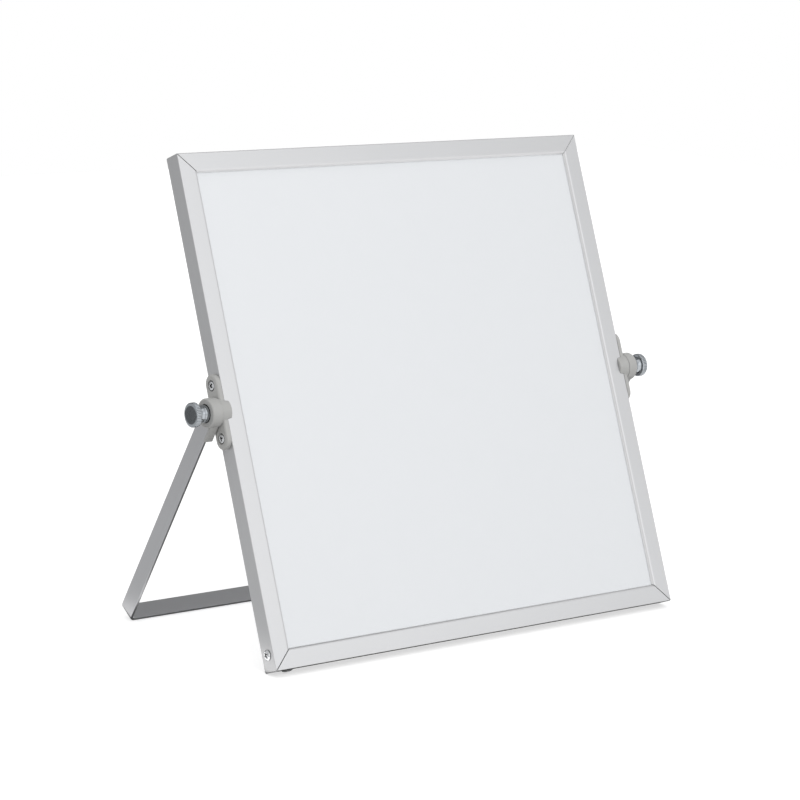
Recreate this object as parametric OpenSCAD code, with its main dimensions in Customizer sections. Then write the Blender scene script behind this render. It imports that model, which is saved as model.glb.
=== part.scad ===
// Desk easel with a square two-faced magnetic board that turns in a bent strip stand.
// Millimetres. +X is the viewer's right, +Y is to the back, +Z is up. The origin is on the desk,
// under the centre of the whole object. Every variable below can be changed within its range.

/* [Board] */
// Outer width and height of the square board frame
board_size = 254; // [200:1:300]
// Width of a frame rail seen from the front
rail_face = 10; // [9:0.5:13]
// Depth of a frame rail from the front to the back
rail_depth = 10; // [9:0.5:12]
// Radius of the long outer edges of the rails
rail_edge_radius = 0.4; // [0.2:0.1:1]
// Thickness of the rail's outer wall
rail_wall = 1.2; // [1:0.1:1.4]
// Depth of the sheets behind the rail's front and back faces
sheet_recess = 1.6; // [1.2:0.1:2]
// Thickness of each lacquered steel sheet
sheet_thickness = 0.4; // [0.3:0.05:0.6]
// How far the sheets go into the rail's groove
groove_depth = 5; // [4:0.25:5.5]
// Lean of the board from the vertical
board_lean = 22.2; // [12:0.1:28]

/* [Corner keys and frame screws] */
// Thickness of a corner key
key_thickness = 2.9; // [2.2:0.1:2.9]
// Length of each arm of a corner key
key_arm = 26; // [18:1:40]
// Height of the side screws above the lower end of the board
side_screw_height = 8.4; // [8:0.1:14]
// Distance of the bottom screws from the ends of the bottom rail
bottom_screw_inset = 9.5; // [8:0.1:14]
// Radius of the frame screws' pan heads
pan_head_radius = 2.7; // [2.3:0.1:3]
// Height of the frame screws' pan heads
pan_head_height = 0.9; // [0.6:0.1:1]
// Radius of the frame and bracket screws' shanks
screw_radius = 1.4; // [1:0.1:1.5]

/* [Pivot brackets] */
// Half the length of a bracket plate
plate_half_length = 18.5; // [17.5:0.1:22]
// Thickness of a bracket plate
plate_thickness = 2.6; // [2.2:0.1:3]
// Rounding round a bracket plate's outer face
plate_rounding = 1; // [0.4:0.1:1.2]
// Distance of the bracket screws from the pivot
bracket_screw_offset = 13; // [12.6:0.1:14]
// Radius of the bracket screws' countersunk heads
flat_head_radius = 2.7; // [2.2:0.1:3]
// Radius of the bracket's boss where it meets the hub
boss_radius = 7.1; // [6.8:0.1:8]
// Radius of the boss at its tip, over the rail
boss_tip_radius = 6.6; // [6.2:0.1:7]
// Rounding round the boss's tip
boss_rounding = 0.7; // [0.3:0.1:1]
// How far the boss goes in over the rail's front and back faces
boss_wrap = 2.6; // [1.5:0.1:4]
// Radius of the threaded insert
insert_radius = 3.5; // [3.2:0.1:3.8]

/* [Stand] */
// Width of the stand's flat strip
strip_width = 10; // [9:0.5:12]
// Thickness of the stand's flat strip
strip_thickness = 1.5; // [1.2:0.1:2]
// Gap between the turning board's edge and the foot bar
turning_gap = 6.9; // [3:0.1:15]
// Outer radius of the two bends
bend_radius = 3; // [2.5:0.1:8]
// Radius of a hub's round part
hub_radius = 7.25; // [7:0.05:9]
// Rounding round a hub's outer face
hub_rounding = 0.9; // [0.3:0.1:1]
// Thickness of the hub's floor, between the bracket and the strip
hub_floor = 2.4; // [1.6:0.1:4]
// Thickness of the hub's cover, over the strip
hub_cover = 1.7; // [1.2:0.1:2.5]
// Height of the lips on both sides of the strip, above its outer face
lip_height = 0.7; // [0.3:0.1:1]
// Thickness of the lips
lip_wall = 1.05; // [0.8:0.05:2]
// Distance from the pivot to the end of the hub's socket
socket_reach = 13.3; // [10:0.1:20]

/* [Thumbscrews] */
// Radius of the thumbscrew's knurled head
knob_radius = 6; // [5:0.1:8]
// Thickness of the knurled head
knob_thickness = 3; // [2:0.1:5]
// Bevel on both rims of the head
knob_bevel = 0.6; // [0.3:0.1:0.8]
// Number of ridges round the head
knurl_count = 44; // [24:1:60]
// Depth of the grooves between the ridges
knurl_depth = 0.25; // [0.15:0.05:0.4]
// Radius of the thumbscrew's collar
collar_radius = 4.3; // [3.8:0.1:4.4]
// Length of the collar from the washer to the head
collar_length = 6.4; // [3:0.1:8]
// Radius of the threaded shank
shank_radius = 2.45; // [1.95:0.05:2.5]
// Thickness of the washer under the collar
washer_thickness = 0.5; // [0.3:0.1:0.8]

/* [Clearances] */
// Gap between a fixed piece and the pocket it sits in
fit_gap = 0.05; // [0.03:0.01:0.1]
// Gap between the shank and the threaded insert
thread_gap = 0.05; // [0.03:0.01:0.09]
// Gap between the flat faces that rub when the board turns
rub_gap = 0.1; // [0.05:0.01:0.2]
// Radial gap between moving round pieces
moving_gap = 0.3; // [0.25:0.05:0.4]

/* [Hidden] */
half = board_size / 2;
half_depth = rail_depth / 2;
sandwich = rail_depth - 2 * sheet_recess;
chamber_depth = 3;
sheet_half = half - groove_depth;
edge_in = half - rail_edge_radius;
edge_back = half_depth - rail_edge_radius;
pivot_height = edge_in * cos(board_lean) + edge_back * sin(board_lean) + rail_edge_radius;
leg_length = half + turning_gap + strip_thickness + 0.7;
foot_reach = sqrt(leg_length * leg_length + strip_width * strip_width / 4);
leg_lean = acos(pivot_height / foot_reach) + atan(strip_width / 2 / leg_length);
front_reach = edge_back * cos(board_lean) + edge_in * sin(board_lean) + rail_edge_radius;
back_reach = max(front_reach, leg_length * sin(leg_lean) + strip_width / 2 * cos(leg_lean));
pivot_y = (front_reach - back_reach) / 2;
plate_face = half + plate_thickness;
hub_inner = plate_face + 0.7;
boss_face = hub_inner - rub_gap;
strip_inner = hub_inner + hub_floor;
strip_outer = strip_inner + strip_thickness;
hub_outer = strip_outer + hub_cover;
washer_inner = strip_outer + 0.02;
collar_inner = washer_inner + washer_thickness + 0.02;
head_inner = collar_inner + collar_length;
head_outer = head_inner + knob_thickness;
insert_inner = half - groove_depth + 1;
insert_outer = boss_face - 0.4;
shank_inner = insert_inner + 0.5;
plate_radius = half_depth;
plate_centre = plate_half_length - plate_radius;
key_half_width = sandwich / 2 - fit_gap;
key_centre = half - rail_wall - chamber_depth / 2;
screw_hole = screw_radius + fit_gap;
rail_grey = [0.72, 0.73, 0.75];
sheet_white = [0.93, 0.94, 0.95];
plastic_grey = [0.68, 0.68, 0.67];
steel_grey = [0.62, 0.63, 0.66];
brass_yellow = [0.75, 0.62, 0.32];
$fn = 64;

// Helpers

// Puts a piece that is drawn round the pivot, upright, onto the leaning board.
module on_board() {
    translate([0, pivot_y, pivot_height]) rotate([-board_lean, 0, 0]) children();
}

// Puts a piece that is drawn round the pivot, with the leg hanging down, onto the leaning leg.
module on_leg() {
    translate([0, pivot_y, pivot_height]) rotate([leg_lean, 0, 0]) children();
}

// The right side is drawn; the left side is its mirror image.
module on_left() {
    mirror([1, 0, 0]) children();
}

// A cylinder along X from one place to another.
module x_cylinder(from, to, r1, r2) {
    translate([from, 0, 0]) rotate([0, 90, 0]) cylinder(h = to - from, r1 = r1, r2 = r2);
}

// A box given by its two opposite corners.
module box_between(a, b) {
    translate(a) cube(b - a);
}

// The board frame

// Section of a rail, seen along its length. Its outer face is at 0 and the groove opens towards +x.
module rail_section() {
    difference() {
        union() {
            translate([rail_edge_radius, -half_depth]) square([rail_face - rail_edge_radius, rail_depth]);
            translate([0, -edge_back]) square([rail_face, 2 * edge_back]);
            for (s = [-1, 1]) translate([rail_edge_radius, s * edge_back]) circle(r = rail_edge_radius);
        }
        translate([rail_wall, -sandwich / 2]) square([chamber_depth, sandwich]);
        translate([groove_depth, -sandwich / 2]) square([rail_face, sandwich]);
    }
}

// The right-hand rail, upright, with both ends mitred at 45 degrees.
module plain_rail() {
    difference() {
        translate([half, 0, -half]) mirror([1, 0, 0]) linear_extrude(height = board_size) rail_section();
        for (s = [-1, 1]) translate([half, 0, s * half]) rotate([0, -s * 45, 0])
            translate([-40, -rail_depth, s > 0 ? 0 : -40]) cube([80, 2 * rail_depth, 40]);
    }
}

module side_rail() {
    difference() {
        plain_rail();
        x_cylinder(half - groove_depth - 1, half + 1, insert_radius + fit_gap, insert_radius + fit_gap);
        for (s = [-1, 1]) translate([0, 0, s * bracket_screw_offset])
            x_cylinder(half - rail_wall - 1, half + 1, screw_hole, screw_hole);
        translate([0, 0, side_screw_height - half])
            x_cylinder(half - rail_wall - 1, half + 1, screw_hole, screw_hole);
    }
}

module right_rail() {
    color(rail_grey) on_board() side_rail();
}

module left_rail() {
    color(rail_grey) on_board() on_left() side_rail();
}

module top_rail() {
    color(rail_grey) on_board() rotate([0, -90, 0]) plain_rail();
}

// Only its left end has a screw from below.
module bottom_rail() {
    color(rail_grey) on_board() difference() {
        rotate([0, 90, 0]) plain_rail();
        translate([bottom_screw_inset - half, 0, -half - 1]) cylinder(h = rail_wall + 2, r = screw_hole);
    }
}

// A square panel in the groove of the four rails, from one depth to another.
module panel(from, to) {
    edge = sheet_half - 0.2;
    box_between([-edge, from, -edge], [edge, to, edge]);
}

module front_sheet() {
    color(sheet_white) on_board() panel(-sandwich / 2 + 0.02, -sandwich / 2 + sheet_thickness);
}

module back_sheet() {
    color(sheet_white) on_board() panel(sandwich / 2 - sheet_thickness, sandwich / 2 - 0.02);
}

module core_board() {
    color([0.6, 0.5, 0.38]) on_board()
        panel(-sandwich / 2 + sheet_thickness + 0.02, sandwich / 2 - sheet_thickness - 0.02);
}

// The key of the lower right corner, with a hole in each arm that a screw holds.
module corner_key(side_hole, bottom_hole) {
    t = key_thickness / 2;
    w = key_half_width;
    c = key_centre;
    difference() {
        union() {
            box_between([c - t, -w, -c - t], [c + t, w, -c + key_arm]);
            box_between([c - key_arm, -w, -c - t], [c + t, w, -c + t]);
        }
        if (side_hole) translate([0, 0, side_screw_height - half])
            x_cylinder(c - t - 1, c + t + 1, screw_hole, screw_hole);
        if (bottom_hole) translate([half - bottom_screw_inset, 0, -c - t - 1])
            cylinder(h = key_thickness + 2, r = screw_hole);
    }
}

module bottom_right_key() {
    color(plastic_grey) on_board() corner_key(true, false);
}

module bottom_left_key() {
    color(plastic_grey) on_board() on_left() corner_key(true, true);
}

module top_right_key() {
    color(plastic_grey) on_board() mirror([0, 0, 1]) corner_key(false, false);
}

module top_left_key() {
    color(plastic_grey) on_board() mirror([0, 0, 1]) on_left() corner_key(false, false);
}

// Screws. They are drawn with the head towards +z and the underside of the head at 0.

module cross_recess(top, depth, reach) {
    for (a = [0, 90]) rotate([0, 0, a])
        box_between([-reach, -0.35, top - depth], [reach, 0.35, top + 1]);
}

module pan_screw() {
    r = pan_head_radius;
    h = pan_head_height;
    difference() {
        union() {
            translate([0, 0, -4]) cylinder(h = 4 + h / 2, r = screw_radius);
            rotate_extrude() polygon([[0, 0.01], [r, 0.01], [r - 0.05, h * 0.3], [r - 0.25, h * 0.62],
                [r - 0.6, h * 0.86], [r - 1.1, h], [0, h]]);
        }
        cross_recess(h, h * 0.75, r - 1.2);
    }
}

module flat_screw() {
    r = flat_head_radius;
    sink = r - screw_radius;
    difference() {
        union() {
            translate([0, 0, -6]) cylinder(h = 6, r = screw_radius);
            translate([0, 0, -sink]) cylinder(h = sink, r1 = screw_radius, r2 = r);
            translate([0, 0, -0.01]) cylinder(h = 0.21, r = r);
        }
        cross_recess(0.2, 1.1, r - 1);
    }
}

module side_screw() {
    translate([half, 0, side_screw_height - half]) rotate([0, 90, 0]) pan_screw();
}

module bracket_screw(s) {
    translate([plate_face - 0.35, 0, s * bracket_screw_offset]) rotate([0, 90, 0]) flat_screw();
}

module right_side_screw() {
    color(steel_grey) on_board() side_screw();
}

module left_side_screw() {
    color(steel_grey) on_board() on_left() side_screw();
}

module left_bottom_screw() {
    color(steel_grey) on_board() translate([bottom_screw_inset - half, 0, -half])
        rotate([180, 0, -25]) pan_screw();
}

module right_upper_screw() {
    color(steel_grey) on_board() bracket_screw(1);
}

module right_lower_screw() {
    color(steel_grey) on_board() bracket_screw(-1);
}

module left_upper_screw() {
    color(steel_grey) on_board() on_left() bracket_screw(1);
}

module left_lower_screw() {
    color(steel_grey) on_board() on_left() bracket_screw(-1);
}

// The pivot bracket: a rounded plate and a boss that wraps over the rail's front and back.

// A disc along X whose face at the far end is rounded by r. A flat core and a ring make the rounding.
module rounded_disc(from, to, radius, r) {
    x_cylinder(from, to - r, radius, radius);
    x_cylinder(from, to, radius - r, radius - r);
    translate([to - r, 0, 0]) rotate([0, 90, 0]) rotate_extrude() translate([radius - r, 0]) circle(r = r);
}

// The plate: two rounded discs and the straight part between them, with the same rounding.
module plate() {
    r = plate_rounding;
    low = half + 0.02;
    for (s = [-1, 1]) translate([0, 0, s * plate_centre]) rounded_disc(low, plate_face, plate_radius, r);
    translate([0, 0, -plate_centre]) linear_extrude(height = 2 * plate_centre) {
        translate([low, -plate_radius]) square([plate_thickness - 0.02 - r, 2 * plate_radius]);
        translate([low, -plate_radius + r]) square([plate_thickness - 0.02, 2 * plate_radius - 2 * r]);
        for (s = [-1, 1]) translate([plate_face - r, s * (plate_radius - r)]) circle(r = r);
    }
}

// The boss: a slight cone with a rounded tip. Its axis is the pivot.
module boss() {
    tip = half - boss_wrap;
    r = boss_rounding;
    x_cylinder(tip + r, boss_face, boss_tip_radius, boss_radius);
    x_cylinder(tip, tip + 2 * r, boss_tip_radius - r, boss_tip_radius - r);
    translate([tip + r, 0, 0]) rotate([0, 90, 0]) rotate_extrude() translate([boss_tip_radius - r, 0]) circle(r = r);
}

module bracket() {
    difference() {
        union() {
            plate();
            boss();
        }
        box_between([half - boss_wrap - 1, -half_depth - 0.02, -boss_radius - 1],
            [half + 0.02, half_depth + 0.02, boss_radius + 1]);
        x_cylinder(half - 1, boss_face + 1, insert_radius + fit_gap, insert_radius + fit_gap);
        for (s = [-1, 1]) translate([0, 0, s * bracket_screw_offset]) {
            x_cylinder(half - 1, plate_face + 1, screw_hole, screw_hole);
            x_cylinder(plate_face - 0.35 - flat_head_radius + screw_radius, plate_face - 0.35,
                screw_hole, flat_head_radius + fit_gap);
            x_cylinder(plate_face - 0.36, plate_face + 1, flat_head_radius + fit_gap,
                flat_head_radius + fit_gap);
        }
    }
}

module right_bracket() {
    color(plastic_grey) on_board() bracket();
}

module left_bracket() {
    color(plastic_grey) on_board() on_left() bracket();
}

// The threaded insert is a plain sleeve here, because a thread can't be seen inside it.
module insert() {
    difference() {
        x_cylinder(insert_inner, insert_outer, insert_radius, insert_radius);
        x_cylinder(insert_inner - 1, insert_outer + 1, shank_radius + thread_gap, shank_radius + thread_gap);
    }
}

module right_insert() {
    color(brass_yellow) on_board() insert();
}

module left_insert() {
    color(brass_yellow) on_board() on_left() insert();
}

// The stand

// Outline of the bent strip's outer or inner side, filled, seen from the front.
module u_outline(out, r) {
    low = strip_outer - out - leg_length;
    translate([-out, low + r]) square([2 * out, -low - r]);
    translate([-out + r, low]) square([2 * out - 2 * r, -low]);
    for (s = [-1, 1]) translate([s * (out - r), low + r]) circle(r = r);
}

// One flat strip bent into a U. Its two ends are round and each has a hole for the shank.
module stand_strip() {
    w = strip_width / 2;
    color(rail_grey) on_leg() difference() {
        union() {
            translate([0, w, 0]) rotate([90, 0, 0]) linear_extrude(height = strip_width) difference() {
                u_outline(strip_outer, bend_radius);
                u_outline(strip_inner, bend_radius - strip_thickness);
            }
            x_cylinder(strip_inner, strip_outer, w, w);
            x_cylinder(-strip_outer, -strip_inner, w, w);
        }
        for (s = [-1, 1]) translate([s * (strip_inner + strip_outer) / 2, 0, 0])
            x_cylinder(-strip_thickness, strip_thickness, shank_radius + moving_gap, shank_radius + moving_gap);
    }
}

// The hub: a round part over the pivot and a socket with two lips that holds the strip's end.
module hub() {
    w = strip_width / 2 + fit_gap;
    lip_face = strip_outer + lip_height;
    difference() {
        union() {
            rounded_disc(hub_inner, hub_outer, hub_radius, hub_rounding);
            box_between([hub_inner, -w - lip_wall, -socket_reach], [lip_face, w + lip_wall, 0]);
        }
        // The pocket of the strip's end, under the cover
        x_cylinder(strip_inner - 0.02, strip_outer + 0.02, w, w);
        box_between([strip_inner - 0.02, -w, -socket_reach - 1], [strip_outer + 0.02, w, 0]);
        // The open channel below the round part
        difference() {
            box_between([strip_inner, -w, -socket_reach - 1], [lip_face + 1, w, 0]);
            x_cylinder(hub_inner, hub_outer, hub_radius, hub_radius);
        }
        x_cylinder(strip_outer, hub_outer + 1, collar_radius + moving_gap, collar_radius + moving_gap);
        x_cylinder(hub_inner - 1, strip_outer, shank_radius + moving_gap, shank_radius + moving_gap);
    }
}

module right_hub() {
    color(plastic_grey) on_leg() hub();
}

module left_hub() {
    color(plastic_grey) on_leg() on_left() hub();
}

// The thumbscrews

module washer() {
    difference() {
        x_cylinder(washer_inner, washer_inner + washer_thickness, collar_radius, collar_radius);
        x_cylinder(washer_inner - 1, washer_inner + washer_thickness + 1,
            shank_radius + thread_gap, shank_radius + thread_gap);
    }
}

module right_washer() {
    color([0.9, 0.9, 0.88]) on_board() washer();
}

module left_washer() {
    color([0.9, 0.9, 0.88]) on_board() on_left() washer();
}

// Shank, collar and knurled head. The shank's tip is bevelled.
module thumbscrew() {
    ridge = [for (i = [0 : 2 * knurl_count - 1]) let (a = 180 * i / knurl_count,
        r = i % 2 == 0 ? knob_radius : knob_radius - knurl_depth) [r * cos(a), r * sin(a)]];
    wide = knob_radius + 0.2;
    bevel = knob_bevel + 0.2;
    x_cylinder(shank_inner + 0.5, collar_inner + 1, shank_radius, shank_radius);
    x_cylinder(shank_inner, shank_inner + 0.5, shank_radius - 0.5, shank_radius);
    x_cylinder(collar_inner, head_inner + 1, collar_radius, collar_radius);
    intersection() {
        translate([head_inner, 0, 0]) rotate([0, 90, 0]) linear_extrude(height = knob_thickness) polygon(ridge);
        union() {
            x_cylinder(head_inner, head_inner + bevel, knob_radius - knob_bevel, wide);
            x_cylinder(head_inner + bevel, head_outer - bevel, wide, wide);
            x_cylinder(head_outer - bevel, head_outer, wide, knob_radius - knob_bevel);
        }
    }
}

module right_thumbscrew() {
    color(steel_grey) on_board() thumbscrew();
}

module left_thumbscrew() {
    color(steel_grey) on_board() on_left() thumbscrew();
}

top_rail();
bottom_rail();
left_rail();
right_rail();
front_sheet();
back_sheet();
core_board();
top_left_key();
top_right_key();
bottom_left_key();
bottom_right_key();
left_side_screw();
right_side_screw();
left_bottom_screw();
left_bracket();
right_bracket();
left_upper_screw();
left_lower_screw();
right_upper_screw();
right_lower_screw();
left_insert();
right_insert();
stand_strip();
left_hub();
right_hub();
left_washer();
right_washer();
left_thumbscrew();
right_thumbscrew();
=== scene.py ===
# %% [markdown]
# A desk easel: a square two-faced board that turns in a bent strip stand.
# The imported model is loaded first and is the frame for everything else.

# %% Load the frame
import math

import bmesh
import bpy
import numpy as np
from mathutils import Matrix, Vector


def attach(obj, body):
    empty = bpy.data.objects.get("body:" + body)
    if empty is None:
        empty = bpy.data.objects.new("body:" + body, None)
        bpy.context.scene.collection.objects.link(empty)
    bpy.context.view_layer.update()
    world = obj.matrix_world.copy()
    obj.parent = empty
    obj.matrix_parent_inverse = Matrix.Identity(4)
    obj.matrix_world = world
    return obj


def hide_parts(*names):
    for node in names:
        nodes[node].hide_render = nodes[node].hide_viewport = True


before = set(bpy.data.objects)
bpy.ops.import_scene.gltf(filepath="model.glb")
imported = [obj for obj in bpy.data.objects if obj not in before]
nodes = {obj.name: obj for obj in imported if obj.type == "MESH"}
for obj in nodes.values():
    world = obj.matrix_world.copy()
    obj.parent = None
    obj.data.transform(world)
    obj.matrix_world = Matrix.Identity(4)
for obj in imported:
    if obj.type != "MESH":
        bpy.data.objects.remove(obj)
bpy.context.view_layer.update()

# %% [markdown]
# The sizes below repeat the ones that the solids were built with, in metres. Pieces of the board are
# worked out upright round the pivot and then leaned back; pieces of the stand are worked out with the
# leg hanging straight down and then swung back.

# %% Sizes and placing
MM = 0.001
PIVOT = np.array([0.0, -10.8423, 119.3533]) * MM
BOARD_LEAN = math.radians(22.2)
LEG_LEAN = math.radians(30.8974)
HALF = 127.0 * MM
HALF_DEPTH = 5.0 * MM
RAIL_FACE = 10.0 * MM
SANDWICH = 6.8 * MM
LEG_LENGTH = 136.1 * MM
STRIP_INNER = 132.7 * MM
STRIP_OUTER = 134.2 * MM
PLATE_FACE = 129.6 * MM


def lean(points, angle):
    """Turns points about X through the pivot: y' = y cos a - z sin a, z' = y sin a + z cos a."""
    p = np.asarray(points, float)
    c, s = math.cos(angle), math.sin(angle)
    turned = np.stack([p[..., 0], p[..., 1] * c - p[..., 2] * s, p[..., 1] * s + p[..., 2] * c], axis=-1)
    return turned + PIVOT


def on_board(points):
    """From the upright board's coordinates round the pivot to the row frame."""
    return lean(points, -BOARD_LEAN)


def on_leg(points):
    """From the hanging leg's coordinates round the pivot to the row frame."""
    return lean(points, LEG_LEAN)


print("pivot at", PIVOT)

# %% [markdown]
# The camera comes from a fit to the photograph's edges: a long lens, a little above the board, turned
# to the left of it. The roll is part of the fit.

# %% Camera
CAMERA_FROM_PIVOT = (-0.8975, -1.1240, 0.2845)
LENS = 130.4
SHIFT = (0.0004, -0.0006)
SENSOR_WIDTH = 36.0
AZIMUTH, ELEVATION, ROLL = (math.radians(a) for a in (38.03, 11.43, 2.28))
forward = Vector((math.sin(AZIMUTH) * math.cos(ELEVATION), math.cos(AZIMUTH) * math.cos(ELEVATION),
                  -math.sin(ELEVATION)))
level_right = Vector((math.cos(AZIMUTH), -math.sin(AZIMUTH), 0))
level_down = forward.cross(level_right)
right = math.cos(ROLL) * level_right - math.sin(ROLL) * level_down
down = math.sin(ROLL) * level_right + math.cos(ROLL) * level_down
place = Vector(PIVOT) + Vector(CAMERA_FROM_PIVOT)

camera_data = bpy.data.cameras.new("camera")
camera_data.lens = LENS
camera_data.shift_x = SHIFT[0]
camera_data.shift_y = SHIFT[1]
camera_data.sensor_width = SENSOR_WIDTH
camera = bpy.data.objects.new("camera", camera_data)
bpy.context.scene.collection.objects.link(camera)
camera.matrix_world = Matrix((
    (right.x, -down.x, -forward.x, place.x),
    (right.y, -down.y, -forward.y, place.y),
    (right.z, -down.z, -forward.z, place.z),
    (0, 0, 0, 1)))
bpy.context.scene.camera = camera
bpy.context.scene.view_settings.view_transform = "Standard"
print("camera at", tuple(round(v, 3) for v in place))

# %% [markdown]
# Node trees are short to write with three helpers: one adds a node and sets its sockets, one joins two
# sockets, and one starts a node group with named inputs and outputs.

# %% Node helpers


def add(tree, kind, values=None, **props):
    """Adds a node to a tree. values sets input sockets by name or number, props sets its properties."""
    n = tree.nodes.new(kind)
    for key, value in props.items():
        setattr(n, key, value)
    for key, value in (values or {}).items():
        n.inputs[key].default_value = value
    return n


def join(tree, pairs):
    """Links (output socket, input socket) pairs."""
    for a, b in pairs:
        tree.links.new(a, b)


def group(name, inputs, outputs):
    """A shader node group. inputs is {name: (socket type, default)}, outputs is {name: socket type}."""
    g = bpy.data.node_groups.new(name, "ShaderNodeTree")
    for key, (kind, default) in inputs.items():
        s = g.interface.new_socket(name=key, in_out="INPUT", socket_type=kind)
        if default is not None:
            s.default_value = default
    for key, kind in outputs.items():
        g.interface.new_socket(name=key, in_out="OUTPUT", socket_type=kind)
    return g, g.nodes.new("NodeGroupInput"), g.nodes.new("NodeGroupOutput")


def use(tree, g, **values):
    """Places a group in a material and sets its inputs. Underscores in a name stand for spaces."""
    n = tree.nodes.new("ShaderNodeGroup")
    n.node_tree = g
    for key, value in values.items():
        n.inputs[key.replace("_", " ")].default_value = value
    return n


print("node helpers ready")

# %% [markdown]
# Drawn or extruded metal has faint lines along its length and a slow change of tone. Stretched noise
# gives both: the pattern is squeezed across the metal and drawn out along it.

# %% Group: drawn metal
F, V, C = "NodeSocketFloat", "NodeSocketVector", "NodeSocketColor"
drawn, gi, go = group("drawn_metal", {
    "Vector": (V, None), "Turn": (V, (0, 0, 0)), "Stretch": (V, (1, 1, 1)), "Fineness": (F, 2500.0),
    "Light": (C, (0.8, 0.8, 0.8, 1)), "Dark": (C, (0.7, 0.7, 0.7, 1)),
    "Roughness": (F, 0.35), "Spread": (F, 0.05)}, {"Color": C, "Roughness": F, "Height": F})
turn = add(drawn, "ShaderNodeVectorRotate", rotation_type="EULER_XYZ")
squeeze = add(drawn, "ShaderNodeVectorMath", operation="MULTIPLY")
lines = add(drawn, "ShaderNodeTexNoise", {"Detail": 3.0, "Roughness": 0.6})
clouds = add(drawn, "ShaderNodeTexNoise", {"Scale": 22.0, "Detail": 2.0})
both = add(drawn, "ShaderNodeMath", {1: 0.6}, operation="MULTIPLY_ADD")
tone = add(drawn, "ShaderNodeMix", data_type="RGBA")
centred = add(drawn, "ShaderNodeMath", {1: 0.5}, operation="SUBTRACT")
rough = add(drawn, "ShaderNodeMath", operation="MULTIPLY_ADD")
soft = add(drawn, "ShaderNodeMath", {1: 0.4}, operation="MULTIPLY")
join(drawn, [
    (gi.outputs["Vector"], turn.inputs["Vector"]), (gi.outputs["Turn"], turn.inputs["Rotation"]),
    (turn.outputs["Vector"], squeeze.inputs[0]), (gi.outputs["Stretch"], squeeze.inputs[1]),
    (squeeze.outputs["Vector"], lines.inputs["Vector"]), (gi.outputs["Fineness"], lines.inputs["Scale"]),
    (gi.outputs["Vector"], clouds.inputs["Vector"]),
    (clouds.outputs["Fac"], soft.inputs[0]),
    (lines.outputs["Fac"], both.inputs[0]), (soft.outputs[0], both.inputs[2]),
    (both.outputs[0], tone.inputs["Factor"]),
    (gi.outputs["Dark"], tone.inputs["A"]), (gi.outputs["Light"], tone.inputs["B"]),
    (lines.outputs["Fac"], centred.inputs[0]),
    (centred.outputs[0], rough.inputs[0]), (gi.outputs["Spread"], rough.inputs[1]),
    (gi.outputs["Roughness"], rough.inputs[2]),
    (tone.outputs["Result"], go.inputs["Color"]), (rough.outputs[0], go.inputs["Roughness"]),
    (lines.outputs["Fac"], go.inputs["Height"])])
print("group", drawn.name)

# %% [markdown]
# Painted highlight: the group marks the edges of a piece, where a lighter colour stands in for the light
# that a rounded edge catches. The group compares the surface's own direction with one that is rounded over
# a short distance: where the two differ there is an edge.

# %% Group: painted edge highlight
edges, gi, go = group("painted_edge_highlight", {"Radius": (F, 0.0004), "Strength": (F, 1.0)}, {"Mask": F, "Normal": V})
geo = add(edges, "ShaderNodeNewGeometry")
round_off = add(edges, "ShaderNodeBevel", samples=4)
same = add(edges, "ShaderNodeVectorMath", operation="DOT_PRODUCT")
turned = add(edges, "ShaderNodeMath", {0: 1.0}, operation="SUBTRACT")
gain = add(edges, "ShaderNodeMath", operation="MULTIPLY", use_clamp=True)
join(edges, [
    (gi.outputs["Radius"], round_off.inputs["Radius"]),
    (round_off.outputs["Normal"], same.inputs[0]), (geo.outputs["Normal"], same.inputs[1]),
    (same.outputs["Value"], turned.inputs[1]), (turned.outputs[0], gain.inputs[0]),
    (gi.outputs["Strength"], gain.inputs[1]),
    (gain.outputs[0], go.inputs["Mask"]), (round_off.outputs["Normal"], go.inputs["Normal"])])
print("group", edges.name)

# %% [markdown]
# Painted shade: narrow places get a darker colour where shade falls. The group looks at how much of the
# surroundings a point sees within a short distance, and gives 1 where little is open.

# %% Group: painted shade in narrow places
narrow, gi, go = group("painted_cavity_shade", {"Distance": (F, 0.001), "Strength": (F, 1.0)}, {"Mask": F})
open_sky = add(narrow, "ShaderNodeAmbientOcclusion", samples=8)
closed = add(narrow, "ShaderNodeMath", {0: 1.0}, operation="SUBTRACT")
gain = add(narrow, "ShaderNodeMath", operation="MULTIPLY", use_clamp=True)
join(narrow, [
    (gi.outputs["Distance"], open_sky.inputs["Distance"]), (open_sky.outputs["AO"], closed.inputs[1]),
    (closed.outputs[0], gain.inputs[0]), (gi.outputs["Strength"], gain.inputs[1]),
    (gain.outputs[0], go.inputs["Mask"])])
print("group", narrow.name)

# %% [markdown]
# A painted highlight makes the lip brighter where the front of a rail turns in to the sheet. The group
# gives 1 inside a square on the upright board, which is where the lips are.

# %% Group: painted lip highlight
lip, gi, go = group("painted_lip_highlight", {"Vector": (V, None), "Half": (F, 0.1)}, {"Mask": F})
upright = add(lip, "ShaderNodeVectorRotate", {"Center": PIVOT.tolist(), "Rotation": (BOARD_LEAN, 0, 0)},
              rotation_type="EULER_XYZ")
from_pivot = add(lip, "ShaderNodeVectorMath", {1: PIVOT.tolist()}, operation="SUBTRACT")
size_of = add(lip, "ShaderNodeVectorMath", operation="ABSOLUTE")
axes = add(lip, "ShaderNodeSeparateXYZ")
furthest = add(lip, "ShaderNodeMath", operation="MAXIMUM")
inside = add(lip, "ShaderNodeMath", operation="LESS_THAN")
join(lip, [
    (gi.outputs["Vector"], upright.inputs["Vector"]), (upright.outputs["Vector"], from_pivot.inputs[0]),
    (from_pivot.outputs["Vector"], size_of.inputs[0]), (size_of.outputs["Vector"], axes.inputs[0]),
    (axes.outputs["X"], furthest.inputs[0]), (axes.outputs["Z"], furthest.inputs[1]),
    (furthest.outputs[0], inside.inputs[0]), (gi.outputs["Half"], inside.inputs[1]),
    (inside.outputs[0], go.inputs["Mask"])])
print("group", lip.name)

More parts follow.
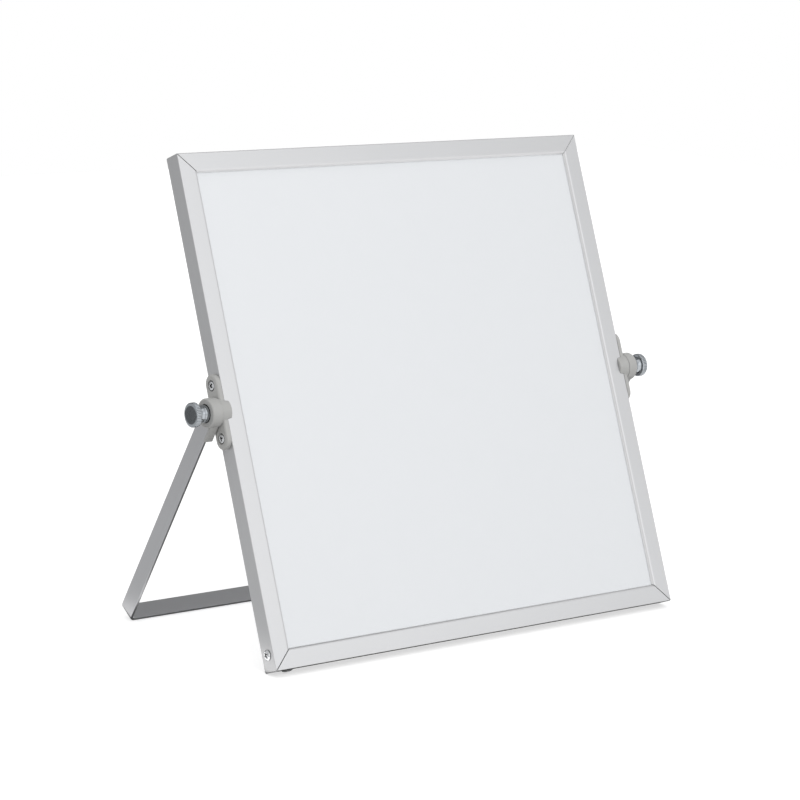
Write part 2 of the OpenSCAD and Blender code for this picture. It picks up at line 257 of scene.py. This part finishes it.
# %% [markdown]
# Moulded plastic takes a fine spark-eroded grain from its mould. Two sizes of noise make it.

# %% Group: moulded grain
grain, gi, go = group("moulded_grain", {
    "Vector": (V, None), "Fineness": (F, 3000.0), "Light": (C, (0.5, 0.5, 0.5, 1)),
    "Dark": (C, (0.45, 0.45, 0.45, 1)), "Roughness": (F, 0.5), "Spread": (F, 0.1)},
    {"Color": C, "Roughness": F, "Height": F})
fine = add(grain, "ShaderNodeTexNoise", {"Detail": 2.0, "Roughness": 0.5})
slow = add(grain, "ShaderNodeTexNoise", {"Scale": 90.0, "Detail": 3.0})
mixed = add(grain, "ShaderNodeMix", {"Factor": 0.35}, data_type="FLOAT")
tone = add(grain, "ShaderNodeMix", data_type="RGBA")
rough = add(grain, "ShaderNodeMath", operation="MULTIPLY_ADD")
centred = add(grain, "ShaderNodeMath", {1: 0.5}, operation="SUBTRACT")
join(grain, [
    (gi.outputs["Vector"], fine.inputs["Vector"]), (gi.outputs["Fineness"], fine.inputs["Scale"]),
    (gi.outputs["Vector"], slow.inputs["Vector"]),
    (slow.outputs["Fac"], mixed.inputs["A"]), (fine.outputs["Fac"], mixed.inputs["B"]),
    (mixed.outputs["Result"], tone.inputs["Factor"]),
    (gi.outputs["Dark"], tone.inputs["A"]), (gi.outputs["Light"], tone.inputs["B"]),
    (fine.outputs["Fac"], centred.inputs[0]), (centred.outputs[0], rough.inputs[0]),
    (gi.outputs["Spread"], rough.inputs[1]), (gi.outputs["Roughness"], rough.inputs[2]),
    (tone.outputs["Result"], go.inputs["Color"]), (rough.outputs[0], go.inputs["Roughness"]),
    (fine.outputs["Fac"], go.inputs["Height"])])
print("group", grain.name)

# %% [markdown]
# Every finish of the easel is one of these groups in front of a Principled shader. The constants of a
# finish, such as its metalness, are set on the shader itself. Some finishes also get a painted highlight
# on their edges, a painted highlight on a rail's lip or painted shade in narrow places.

# %% Finishes
LIP_REACH = HALF - RAIL_FACE + 0.3 * MM
# The colour of the painted shade in narrow places.
SHADE_COLOUR = (0.02, 0.02, 0.022, 1)


def finish_of(name, g, metallic, bump, depth, wear=0.0, wear_radius=0.0004, wear_tint=0.0,
              shade=0.0, shade_reach=0.001, bare=0.0, shader=None, **values):
    """A material: group g gives colour, roughness and height. The edge light arguments paint a highlight
    along the edges, shade paints shade into narrow places, and the lip argument is the tone of a highlight
    painted on a rail's lip."""
    m = bpy.data.materials.new(name)
    m.use_nodes = True
    t = m.node_tree
    bsdf = next(n for n in t.nodes if n.type == "BSDF_PRINCIPLED")
    bsdf.inputs["Metallic"].default_value = metallic
    for key, value in (shader or {}).items():
        bsdf.inputs[key].default_value = value
    where = add(t, "ShaderNodeTexCoord")
    base = use(t, g, **values)
    relief = add(t, "ShaderNodeBump", {"Strength": bump, "Distance": depth})
    join(t, [(where.outputs["Object"], base.inputs["Vector"]),
             (base.outputs["Roughness"], bsdf.inputs["Roughness"]),
             (base.outputs["Height"], relief.inputs["Height"]),
             (relief.outputs["Normal"], bsdf.inputs["Normal"])])
    colour = base.outputs["Color"]
    # Painted highlight: a lighter colour along the edges stands in for the light caught there.
    if wear:
        edge_lit = use(t, edges, Radius=wear_radius, Strength=wear)
        lit = add(t, "ShaderNodeMix", data_type="RGBA", blend_type="MIX")
        lit.inputs["B"].default_value = (wear_tint, wear_tint, wear_tint * 1.01, 1)
        join(t, [(edge_lit.outputs["Mask"], lit.inputs["Factor"]), (colour, lit.inputs["A"]),
                 (edge_lit.outputs["Normal"], relief.inputs["Normal"])])
        colour = lit.outputs["Result"]
    # Painted highlight: a lighter tone on the rails' lips.
    if bare:
        where_lip_lit = use(t, lip, Half=LIP_REACH)
        brighter = add(t, "ShaderNodeMix", data_type="RGBA", blend_type="MIX")
        brighter.inputs["B"].default_value = (bare, bare, bare, 1)
        join(t, [(where.outputs["Object"], where_lip_lit.inputs["Vector"]),
                 (where_lip_lit.outputs["Mask"], brighter.inputs["Factor"]), (colour, brighter.inputs["A"])])
        colour = brighter.outputs["Result"]
    # Painted shade: a darker colour in narrow places, where shade falls.
    if shade:
        shade_mask = use(t, narrow, Distance=shade_reach, Strength=shade)
        dimmed = add(t, "ShaderNodeMix", data_type="RGBA", blend_type="MIX")
        dimmed.inputs["B"].default_value = SHADE_COLOUR
        join(t, [(shade_mask.outputs["Mask"], dimmed.inputs["Factor"]), (colour, dimmed.inputs["A"])])
        colour = dimmed.outputs["Result"]
    join(t, [(colour, bsdf.inputs["Base Color"])])
    return m


def grey(value, blue=1.0):
    """A grey with a touch of blue, as a colour socket wants it."""
    return (value, value, value * blue, 1)


UPRIGHT = (BOARD_LEAN, 0, 0)
HANGING = (-LEG_LEAN, 0, 0)
# The rails get a painted highlight on their edges and on their lips.
RAIL_LOOK = dict(metallic=1.0, bump=0.08, depth=0.00005, wear=0.8, wear_radius=0.0003, wear_tint=0.9,
                 bare=0.78, Turn=UPRIGHT, Light=grey(0.64, 1.01), Dark=grey(0.60, 1.01),
                 Roughness=0.38, Spread=0.10)
rail_up = finish_of("rail_satin_upright", drawn, Stretch=(1, 1, 0.012), **RAIL_LOOK)
rail_across = finish_of("rail_satin_across", drawn, Stretch=(0.012, 1, 1), **RAIL_LOOK)
strip_satin = finish_of("strip_satin", drawn, metallic=1.0, bump=0.08, depth=0.00005,
                        wear=0.6, wear_radius=0.0003, wear_tint=0.75,
                        Turn=HANGING, Stretch=(0.05, 1, 0.05), Light=grey(0.60, 1.02),
                        Dark=grey(0.55, 1.02), Roughness=0.36, Spread=0.12)
lacquer = finish_of("white_lacquer", grain, metallic=0.0, bump=0.02, depth=0.00002,
                    shader={"Coat Weight": 0.5, "Coat Roughness": 0.04, "IOR": 1.5},
                    Fineness=700.0, Light=(0.80, 0.818, 0.841, 1), Dark=(0.785, 0.803, 0.826, 1),
                    Roughness=0.22, Spread=0.05)
pivot_plastic = finish_of("pivot_plastic", grain, metallic=0.0, bump=0.25, depth=0.00003,
                          wear=0.4, wear_radius=0.0003, wear_tint=0.60, shade=0.3, shade_reach=0.0008,
                          Fineness=5200.0, Light=(0.45, 0.45, 0.44, 1), Dark=(0.41, 0.41, 0.40, 1),
                          Roughness=0.42, Spread=0.12)
zinc = finish_of("bright_zinc", grain, metallic=1.0, bump=0.06, depth=0.00002,
                 wear=0.8, wear_radius=0.0002, wear_tint=0.95, shade=2.4, shade_reach=0.0009,
                 Fineness=2600.0, Light=(0.93, 0.94, 0.95, 1), Dark=(0.82, 0.83, 0.85, 1),
                 Roughness=0.14, Spread=0.10)
knob_metal = finish_of("knob_plated", grain, metallic=1.0, bump=0.04, depth=0.00002,
                       wear=0.5, wear_radius=0.0003, wear_tint=0.95, shade=1.8, shade_reach=0.0006,
                       Fineness=3200.0, Light=(0.50, 0.525, 0.55, 1), Dark=(0.38, 0.405, 0.43, 1),
                       Roughness=0.09, Spread=0.05)
key_plastic = finish_of("key_plastic", grain, metallic=0.0, bump=0.2, depth=0.00003, Fineness=4000.0,
                        Light=grey(0.06), Dark=grey(0.045), Roughness=0.5, Spread=0.1)
fibreboard = finish_of("fibreboard", grain, metallic=0.0, bump=0.6, depth=0.0001, Fineness=1600.0,
                       Light=(0.36, 0.25, 0.15, 1), Dark=(0.22, 0.14, 0.08, 1),
                       Roughness=0.85, Spread=0.1)
brass = finish_of("turned_brass", drawn, metallic=1.0, bump=0.1, depth=0.00005,
                  Turn=(0, 0, 0), Stretch=(1, 0.05, 0.05), Light=(0.85, 0.66, 0.33, 1),
                  Dark=(0.72, 0.54, 0.26, 1), Roughness=0.25, Spread=0.1)
nylon = finish_of("nylon", grain, metallic=0.0, bump=0.1, depth=0.00002, Fineness=2500.0,
                  Light=(0.80, 0.79, 0.74, 1), Dark=(0.74, 0.73, 0.68, 1), Roughness=0.4, Spread=0.1,
                  shader={"Subsurface Weight": 0.1, "Subsurface Radius": (0.001, 0.001, 0.001)})
print("made", len(bpy.data.materials), "materials")

# %% [markdown]
# A surface is a grid of points: rows along one parameter, columns round the other. The helper below
# turns such a grid into a mesh object, closes its ends, smooths it and lets it ride on its body in
# place of its solid.

# %% Surface helper


def surface(name, grid, material, body, replaced, caps=True, smooth_angle=35):
    """Quads between neighbouring points of grid (rows, columns, xyz); columns close round, and a face
    made of the first and the last row closes the ends. Mesh faces are turned outwards."""
    g = np.asarray(grid, float)
    rows, cols = g.shape[:2]
    i, j = np.meshgrid(np.arange(rows - 1), np.arange(cols), indexing="ij")
    k = (j + 1) % cols
    here, below = i * cols, (i + 1) * cols
    quads = np.stack([here + j, here + k, below + k, below + j], -1).reshape(-1, 4)
    faces = quads.tolist()
    if caps:
        faces += [list(range(cols))[::-1], list(range((rows - 1) * cols, rows * cols))]
    mesh = bpy.data.meshes.new(name)
    mesh.from_pydata(g.reshape(-1, 3).tolist(), [], faces)
    return finish_piece(name, mesh, material, body, replaced, smooth_angle)


def finish_piece(name, mesh, material, body, replaced, smooth_angle=35):
    bm = bmesh.new()
    bm.from_mesh(mesh)
    bmesh.ops.remove_doubles(bm, verts=bm.verts, dist=1e-7)
    bmesh.ops.recalc_face_normals(bm, faces=bm.faces)
    bm.to_mesh(mesh)
    bm.free()
    mesh.validate()
    mesh.materials.append(material)
    o = bpy.data.objects.new(name, mesh)
    bpy.context.scene.collection.objects.link(o)
    bpy.context.view_layer.objects.active = o
    o.select_set(True)
    bpy.ops.object.shade_smooth_by_angle(angle=math.radians(smooth_angle))
    o.select_set(False)
    even = o.modifiers.new("even_shading", "WEIGHTED_NORMAL")
    even.keep_sharp = True
    even.weight = 100
    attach(o, body)
    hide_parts(*replaced)
    print(name, len(mesh.vertices), "points,", len(mesh.polygons), "faces")
    return o


# %% [markdown]
# The frame rails are one aluminium extrusion, sawn at 45 degrees. The section is drawn once: round
# outer edges, a rounder lip towards the sheet, and the groove that holds the sheets. Each point of the
# section runs as far as the mitre lets it. Close to the saw cut the section draws in a little, as the
# broken edge of a real cut does, so the joint shows as a thin dark line.

# %% Frame rails
EDGE, LIP = 0.4 * MM, 1.55 * MM
GROOVE_BOTTOM = 5 * MM
SAW_GAP = 0.03 * MM
TOP_LEFT, TOP_RIGHT, BOTTOM_LEFT, BOTTOM_RIGHT = 0.30 * MM, 0.14 * MM, 0.34 * MM, 0.34 * MM


def arc(cx, cy, r, start, end, steps):
    """Points on a circle round (cx, cy) from one angle to another, in degrees."""
    a = np.radians(np.linspace(start, end, steps))
    return np.stack([cx + r * np.cos(a), cy + r * np.sin(a)], -1)


def draw_in(points, by):
    """Moves each point of a closed outline to its inner side, along the mean of its two sides' normals."""
    before = points - np.roll(points, 1, axis=0)
    after = np.roll(points, -1, axis=0) - points
    unit = [v / np.maximum(np.linalg.norm(v, axis=1, keepdims=True), 1e-9) for v in (before, after)]
    normals = [np.stack([-v[:, 1], v[:, 0]], -1) for v in unit]
    mean = normals[0] + normals[1]
    scale = np.maximum(np.sum(mean * normals[0], axis=1, keepdims=True), 0.5)
    return points + by * mean / scale


d, f, s = HALF_DEPTH, RAIL_FACE, SANDWICH / 2
section = np.concatenate([
    arc(EDGE, -d + EDGE, EDGE, 180, 270, 7), arc(f - LIP, -d + LIP, LIP, 270, 360, 9),
    [[f, -s], [GROOVE_BOTTOM, -s], [GROOVE_BOTTOM, s], [f, s]],
    arc(f - LIP, d - LIP, LIP, 0, 90, 9), arc(EDGE, d - EDGE, EDGE, 90, 180, 7)])


def rail(name, place_rail, material, cuts):
    """Carries the section along the rail. A point x inside the outer face ends at z = half - x, and
    cuts gives how far the edge of each saw cut is broken, at the lower and at the upper end."""
    rows = []
    for end, cut in zip((-1, 1), cuts):
        for back in ((SAW_GAP, cut), (cut, 0.0))[::-end]:
            p = draw_in(section, back[1])
            z = end * (HALF - p[:, 0] - back[0])
            rows.append(np.stack([HALF - p[:, 0], p[:, 1], z], -1))
    between = [rows[1] + (rows[2] - rows[1]) * t for t in np.linspace(0, 1, 9)[1:-1]]
    grid = np.stack(rows[:2] + between + rows[2:])
    solid = name.replace("_form", "")
    return surface(name, on_board(place_rail(grid)), material, "board", [solid])


def swap(p, x, z, flip=1):
    """Sends a rail from the right-hand side to another: the new x and z are picked from the old ones."""
    return np.stack([flip * p[..., x], p[..., 1], p[..., z]], -1)


rail("right_rail_form", lambda p: p, rail_up, (BOTTOM_RIGHT, TOP_RIGHT))
rail("left_rail_form", lambda p: swap(p, 0, 2, -1), rail_up, (BOTTOM_LEFT, TOP_LEFT))
rail("top_rail_form", lambda p: swap(p, 2, 0), rail_across, (TOP_LEFT, TOP_RIGHT))
rail("bottom_rail_form", lambda p: swap(p, 2, 0) * (1, 1, -1), rail_across, (BOTTOM_LEFT, BOTTOM_RIGHT))

# %% [markdown]
# The stand is one flat strip bent twice. Its section is a thin rectangle with broken edges, carried
# along a U: down one leg, round a tight bend, across the foot bar and up again. The ends stop inside
# the hubs.

# %% Stand strip
OUTER_BEND = 3.0 * MM
STRIP_END = 4.5 * MM
STRIP_HALF_WIDTH = 5.0 * MM
STRIP_EDGE = 0.28 * MM
MID = (STRIP_INNER + STRIP_OUTER) / 2
THICK = STRIP_OUTER - STRIP_INNER
BEND = OUTER_BEND - THICK / 2
FOOT = LEG_LENGTH - THICK / 2

turn_right = arc(MID - BEND, -FOOT + BEND, BEND, 0, -90, 13)
turn_left = arc(-MID + BEND, -FOOT + BEND, BEND, -90, -180, 13)
leg_right = np.stack([np.full(12, MID), np.linspace(STRIP_END, -FOOT + BEND, 13)[:-1]], -1)
bar = np.stack([np.linspace(MID - BEND, -MID + BEND, 25)[1:-1], np.full(23, -FOOT)], -1)
leg_left = np.stack([np.full(12, -MID), np.linspace(-FOOT + BEND, STRIP_END, 13)[1:]], -1)
path = np.concatenate([leg_right, turn_right, bar, turn_left, leg_left])
along = np.gradient(path, axis=0)
along /= np.linalg.norm(along, axis=1, keepdims=True)
outward = np.stack([-along[:, 1], along[:, 0]], -1)
outward *= -1 if outward[0, 0] * path[0, 0] < 0 else 1

w, t, r = STRIP_HALF_WIDTH, THICK / 2, STRIP_EDGE
rim = np.concatenate([arc(w - r, t - r, r, 0, 90, 5), arc(-w + r, t - r, r, 90, 180, 5),
                      arc(-w + r, -t + r, r, 180, 270, 5), arc(w - r, -t + r, r, 270, 360, 5)])
flat = path[:, None, :] + outward[:, None, :] * rim[None, :, 1:2]
strip_grid = np.stack([flat[..., 0], np.broadcast_to(rim[:, 0], flat.shape[:2]), flat[..., 1]], -1)
surface("stand_strip_form", on_leg(strip_grid), strip_satin, "stand", ["stand_strip"])

# %% [markdown]
# The thumbscrews are turned, then knurled. A profile of distance and radius turns round X, and on the
# head the radius is also limited by the knurl: a ridge pattern that repeats round the rim.

# %% Thumbscrews
RIDGES = 44
KNURL_DEPTH = 0.30 * MM
HEAD_RADIUS = 6.0 * MM
SHANK_PROFILE = [[123.5, 0.0], [123.5, 1.9], [124.0, 2.42], [134.74, 2.42]]
COLLAR_PROFILE = [[134.76, 4.1], [134.95, 4.3], [138.0, 4.3], [138.15, 4.12], [138.6, 4.12],
                  [138.75, 4.3], [140.6, 4.3], [141.0, 4.45]]
HEAD_PROFILE = [[141.14, 4.7], [141.14, 5.45], [141.22, 5.62], [141.62, 6.0], [142.2, 6.0],
                [143.0, 6.0], [143.75, 6.0], [144.02, 5.82], [144.11, 5.66], [144.14, 5.45],
                [144.13, 4.0], [144.10, 2.0], [144.10, 0.0]]


def thumbscrew(name, side):
    """Radius = the smaller of the turned profile and head radius - depth * |triangle wave of the angle|.
    The profiles are pairs of distance from the middle plane and radius, in millimetres."""
    stations = np.array(SHANK_PROFILE + COLLAR_PROFILE + HEAD_PROFILE) * MM
    angle = np.linspace(0, 2 * np.pi, RIDGES * 6, endpoint=False)
    wave = np.abs((angle * RIDGES / (2 * np.pi)) % 1.0 - 0.5) * 2
    limit = HEAD_RADIUS - KNURL_DEPTH * (1 - wave)
    radius = np.minimum(stations[:, 1:2], limit[None, :])
    grid = np.stack([np.broadcast_to(side * stations[:, 0:1], radius.shape),
                     radius * np.cos(angle), radius * np.sin(angle)], -1)
    return surface(name + "_form", on_board(grid), knob_metal, name, [name], caps=False)


thumbscrew("left_thumbscrew", -1)
thumbscrew("right_thumbscrew", 1)

# %% [markdown]
# Screw heads are small, but their cross recesses catch the eye. A head is a height over a round grid:
# a dome for the pan heads, a low lens for the countersunk ones, less a cross whose walls slope in.

# %% Screws
AROUND = 96
CROSS_REACH = 0.58
CROSS_HALF_WIDTH = 0.48 * MM
SHANK_RADIUS, TIP_RADIUS, TIP_LENGTH = 1.25 * MM, 0.8 * MM, 0.4 * MM
PAN_RADIUS, PAN_DEEP, PAN_SHANK = 2.7 * MM, 0.62 * MM, 3.5 * MM
SUNK_RADIUS, SUNK_DEEP, SUNK_SHANK, SUNK_SEAT = 2.5 * MM, 1.0 * MM, 5.5 * MM, 0.35 * MM
SIDE_SCREW_HEIGHT = 8.4 * MM - HALF
BOTTOM_SCREW_PLACE = 9.5 * MM - HALF
BRACKET_SCREWS = (("upper", 13.0, 0.6), ("lower", -13.0, 0.2))
SIDE_SCREW_TURN, BOTTOM_SCREW_TURN = 0.35, 0.9


def cross(x, y, reach, width, deep):
    """Depth of a cross recess: two arms, each as deep as its sloping sides and ends allow."""
    def arm(a, b):
        side = np.clip((width - np.abs(b)) / (0.35 * width), 0, 1)
        end = np.clip((reach - np.abs(a)) / (0.8 * deep), 0, 1)
        return np.minimum(side, end)
    return deep * np.maximum(arm(x, y), arm(y, x))


def screw(name, head_radius, crown, skirt, deep, shank, place_screw, turn_by):
    """Height = crown(r) - cross(x, y); then a skirt down to the shank, which ends in a blunt tip."""
    radii = np.concatenate([np.linspace(0.0, 0.93, 26), [0.96, 0.98, 1.0]]) * head_radius
    angle = np.linspace(0, 2 * np.pi, AROUND, endpoint=False)
    rr, aa = np.meshgrid(radii, angle, indexing="ij")
    x, y = rr * np.cos(aa), rr * np.sin(aa)
    c, s = math.cos(turn_by), math.sin(turn_by)
    recess = cross(x * c + y * s, y * c - x * s, CROSS_REACH * head_radius, CROSS_HALF_WIDTH, deep)
    top = np.stack([x, y, crown(rr / head_radius) - recess], -1)
    tip = [(-shank, SHANK_RADIUS), (-shank - TIP_LENGTH, TIP_RADIUS), (-shank - TIP_LENGTH, 0.0)]
    rings = [np.stack([r * np.cos(angle), r * np.sin(angle), np.full(AROUND, h)], -1)
             for h, r in skirt + tip]
    grid = np.concatenate([top, np.stack(rings)])
    return surface(name + "_form", on_board(place_screw(grid)), zinc, "board", [name],
                   caps=False, smooth_angle=40)


def pan_crown(u):
    """A dome: height = 0.95 mm * (1 - 0.75 u^3), where u is 1 at the rim."""
    return 0.95 * MM * (1 - 0.75 * np.clip(u, 0, 1) ** 3)


def raised_crown(u):
    """The lens of a raised countersunk head: height = 0.68 mm * (1 - u^2), less a rim that falls away
    by 0.4 mm from u = 0.84 to u = 1."""
    return 0.68 * MM * (1 - np.clip(u, 0, 1) ** 2) - 0.4 * MM * np.clip((u - 0.84) / 0.16, 0, 1)


def to_side(side, out, height):
    """The head points out of the board's side face, at a height over the pivot."""
    return lambda p: np.stack([side * (out + p[..., 2]), p[..., 1], height + p[..., 0]], -1)


def to_floor(x):
    """The head points down out of the bottom rail."""
    return lambda p: np.stack([x + p[..., 0], p[..., 1], -HALF - p[..., 2]], -1)


pan_skirt = [(0.14 * MM, 2.6 * MM), (0.02 * MM, 2.3 * MM), (0.02 * MM, 1.4 * MM)]
sunk_skirt = [(-0.5 * MM, 2.45 * MM), (-1.3 * MM, 1.4 * MM)]
for word, side in (("left", -1), ("right", 1)):
    screw(word + "_side_screw", PAN_RADIUS, pan_crown, pan_skirt, PAN_DEEP, PAN_SHANK,
          to_side(side, HALF, SIDE_SCREW_HEIGHT), SIDE_SCREW_TURN)
    for level, z, turn_by in BRACKET_SCREWS:
        screw(word + "_" + level + "_screw", SUNK_RADIUS, raised_crown, sunk_skirt, SUNK_DEEP, SUNK_SHANK,
              to_side(side, PLATE_FACE - SUNK_SEAT, z * MM), turn_by)

screw("left_bottom_screw", PAN_RADIUS, pan_crown, pan_skirt, PAN_DEEP, PAN_SHANK,
      to_floor(BOTTOM_SCREW_PLACE), BOTTOM_SCREW_TURN)

# %% [markdown]
# The other solids already have their true shapes. They keep them, and get their finishes here.

# %% Finishes of the solids that stay
kept = {
    lacquer: ["front_sheet", "back_sheet"],
    fibreboard: ["core_board"],
    key_plastic: ["top_left_key", "top_right_key", "bottom_left_key", "bottom_right_key"],
    pivot_plastic: ["left_bracket", "right_bracket", "left_hub", "right_hub"],
    brass: ["left_insert", "right_insert"],
    nylon: ["left_washer", "right_washer"]}
for material, names in kept.items():
    for n in names:
        for place_in in nodes[n].material_slots:
            place_in.material = material
print("solids kept:", sum(len(v) for v in kept.values()))

# %% [markdown]
# The floor is pale and keeps the object's shadow. Rays from the camera and from reflections see it
# brighter, so that the background is white, while the light on the object stays at a plain level.

# %% Floor and background
FLOOR_HALF = 1.6
FLOOR_TONE, FLOOR_GLOW = 0.62, 0.57
WORLD_SEEN, WORLD_LIGHT = 1.0, 0.80
WHITE = (1, 1, 1, 1)


def sees_background(tree):
    """1 for rays from the camera, from a reflection or through glass, otherwise 0."""
    path_info = add(tree, "ShaderNodeLightPath")
    a = add(tree, "ShaderNodeMath", operation="MAXIMUM")
    b = add(tree, "ShaderNodeMath", operation="MAXIMUM")
    join(tree, [(path_info.outputs["Is Camera Ray"], a.inputs[0]),
                (path_info.outputs["Is Glossy Ray"], a.inputs[1]),
                (a.outputs[0], b.inputs[0]), (path_info.outputs["Is Transmission Ray"], b.inputs[1])])
    return b.outputs[0]


floor_mesh = bpy.data.meshes.new("floor")
corners = [(-FLOOR_HALF, -FLOOR_HALF, 0), (FLOOR_HALF, -FLOOR_HALF, 0),
           (FLOOR_HALF, FLOOR_HALF, 0), (-FLOOR_HALF, FLOOR_HALF, 0)]
floor_mesh.from_pydata(corners, [], [(0, 1, 2, 3)])
floor = bpy.data.objects.new("floor", floor_mesh)
bpy.context.scene.collection.objects.link(floor)
paper = bpy.data.materials.new("floor_paper")
paper.use_nodes = True
t = paper.node_tree
t.nodes.clear()
matt = add(t, "ShaderNodeBsdfDiffuse", {"Color": grey(FLOOR_TONE)})
glow = add(t, "ShaderNodeEmission", {"Color": WHITE})
level = add(t, "ShaderNodeMath", {1: FLOOR_GLOW}, operation="MULTIPLY")
total = add(t, "ShaderNodeAddShader")
out = add(t, "ShaderNodeOutputMaterial")
join(t, [(sees_background(t), level.inputs[0]), (level.outputs[0], glow.inputs["Strength"]),
         (matt.outputs[0], total.inputs[0]), (glow.outputs[0], total.inputs[1]),
         (total.outputs[0], out.inputs["Surface"])])
floor_mesh.materials.append(paper)

world = bpy.data.worlds.new("studio")
bpy.context.scene.world = world
world.use_nodes = True
t = world.node_tree
t.nodes.clear()
seen = add(t, "ShaderNodeBackground", {"Color": WHITE, "Strength": WORLD_SEEN})
light = add(t, "ShaderNodeBackground", {"Color": WHITE, "Strength": WORLD_LIGHT})
choose = add(t, "ShaderNodeMixShader")
out = add(t, "ShaderNodeOutputWorld")
join(t, [(sees_background(t), choose.inputs["Fac"]), (light.outputs[0], choose.inputs[1]),
         (seen.outputs[0], choose.inputs[2]), (choose.outputs[0], out.inputs["Surface"])])
print("floor and background ready")

# %% [markdown]
# Metal looks like metal only when it has something to reflect. Six cards out of the picture give it that,
# and only reflections see them: a grey one at the left with a side wall, a darker one behind with a
# ceiling, a very dark one under the easel that puts painted shade into the reflections there, a grey one
# at the right, a small dark spot where the left thumbscrew's flat face looks, and a bright one in front
# that fades towards the right.

# %% Cards
GROUND = 0.001
CARD_TOP = 1.3
CARD_LEFT, CARD_BACK = -0.9, 1.4
UNDER = 0.0002
SPOT_HEIGHT = 0.002
COOL = (1.0, 1.01, 1.02)


def card(name, points, faces, tones, along=(-1.0, 0.0, 0.0), strength=1.0):
    """A card that only reflections see. tones are (place, grey) stops of its glow, where a place is
    the point's dot product with the vector along, from 0 to 1. By default that is metres to the left."""
    mesh = bpy.data.meshes.new(name)
    mesh.from_pydata(points, [], faces)
    o = bpy.data.objects.new(name, mesh)
    bpy.context.scene.collection.objects.link(o)
    m = bpy.data.materials.new(name)
    m.use_nodes = True
    t = m.node_tree
    t.nodes.clear()
    where = add(t, "ShaderNodeTexCoord")
    away = add(t, "ShaderNodeVectorMath", {1: along}, operation="DOT_PRODUCT")
    ramp = add(t, "ShaderNodeValToRGB")
    glow = add(t, "ShaderNodeEmission", {"Strength": strength})
    out = add(t, "ShaderNodeOutputMaterial")
    stops = ramp.color_ramp.elements
    while len(stops) < len(tones):
        stops.new(0.5)
    for stop, (far, tone) in zip(stops, tones):
        stop.position = far
        stop.color = (tone * COOL[0], tone * COOL[1], tone * COOL[2], 1)
    join(t, [(where.outputs["Object"], away.inputs[0]), (away.outputs["Value"], ramp.inputs["Fac"]),
             (ramp.outputs["Color"], glow.inputs["Color"]), (glow.outputs[0], out.inputs["Surface"])])
    mesh.materials.append(m)
    o.visible_camera = False
    o.visible_diffuse = False
    o.visible_shadow = False
    o.visible_transmission = False
    print(name, "ready")


card("left_card",
     [(-0.15, -0.1, GROUND), (CARD_LEFT, -0.1, GROUND), (CARD_LEFT, CARD_BACK, GROUND),
      (-0.15, CARD_BACK, GROUND), (CARD_LEFT, -0.1, CARD_TOP), (CARD_LEFT, CARD_BACK, CARD_TOP)],
     [(0, 1, 2, 3), (1, 4, 5, 2)], [(0.15, 0.60), (0.32, 0.65), (0.5, 0.58), (0.8, 0.56)])
card("back_card",
     [(CARD_LEFT, CARD_BACK, GROUND), (1.5, CARD_BACK, GROUND), (1.5, CARD_BACK, CARD_TOP),
      (CARD_LEFT, CARD_BACK, CARD_TOP), (CARD_LEFT, -0.05, CARD_TOP), (1.5, -0.05, CARD_TOP)],
     [(0, 1, 2, 3), (3, 2, 5, 4)], [(0.0, 0.30), (0.8, 0.34)])
# Painted shade: a very dark card under the easel stands in for the shade there in reflections.
card("under_shade_card",
     [(-0.12, -0.075, UNDER), (0.15, -0.075, UNDER), (0.15, 0.36, UNDER), (-0.12, 0.36, UNDER),
      (-0.137, 0.045, UNDER), (-0.12, 0.045, UNDER), (-0.137, 0.075, UNDER), (-0.12, 0.075, UNDER),
      (-0.129, -0.075, UNDER), (-0.12, -0.045, UNDER), (-0.129, -0.045, UNDER)],
     [(0, 1, 2, 3), (4, 5, 7, 6), (8, 0, 9, 10)], [(0.0, 0.12), (1.0, 0.12)])
card("right_card",
     [(0.2, 0.0, GROUND), (1.6, 0.0, GROUND), (1.6, CARD_BACK, GROUND), (0.2, CARD_BACK, GROUND)],
     [(0, 1, 2, 3)], [(0.0, 0.30), (1.0, 0.30)])
card("dark_spot",
     [(-0.53, 0.395, SPOT_HEIGHT), (-0.395, 0.395, SPOT_HEIGHT), (-0.395, 0.53, SPOT_HEIGHT),
      (-0.53, 0.53, SPOT_HEIGHT)],
     [(0, 1, 2, 3)], [(0.0, 0.16), (1.0, 0.16)])
card("front_card",
     [(-0.2, -1.2, 0.2), (2.4, -1.2, 0.2), (2.4, -1.2, 1.8), (-0.2, -1.2, 1.8)], [(0, 1, 2, 3)],
     [(0.28, 1.0), (0.36, 0.97), (0.60, 0.50), (0.7, 0.45)], along=(0.4, 0.0, 0.0), strength=1.42)

# %% [markdown]
# A broad soft lamp stands in front, a weaker one above and one behind for the other writing face. They
# light the board and the plastic, but the metal doesn't mirror them.

# %% Lamps


def lamp(name, direction, distance, size, watts):
    """A square area lamp that looks at the pivot from a direction. Mirror-like faces don't see it."""
    data = bpy.data.lights.new(name, "AREA")
    data.shape = "SQUARE"
    data.size = size
    data.energy = watts
    o = bpy.data.objects.new(name, data)
    bpy.context.scene.collection.objects.link(o)
    aim = Vector(direction).normalized()
    o.location = Vector(PIVOT) + aim * distance
    o.rotation_euler = aim.to_track_quat("Z", "Y").to_euler()
    o.visible_glossy = False
    return o


lamp("key", (0.02, -0.84, 0.44), 2.2, 1.5, 9.0)
lamp("top", (-0.25, -0.25, 1.0), 2.2, 1.6, 5.0)
lamp("back", (0.30, 0.85, 0.45), 2.2, 1.5, 6.0)
print("lamps ready")
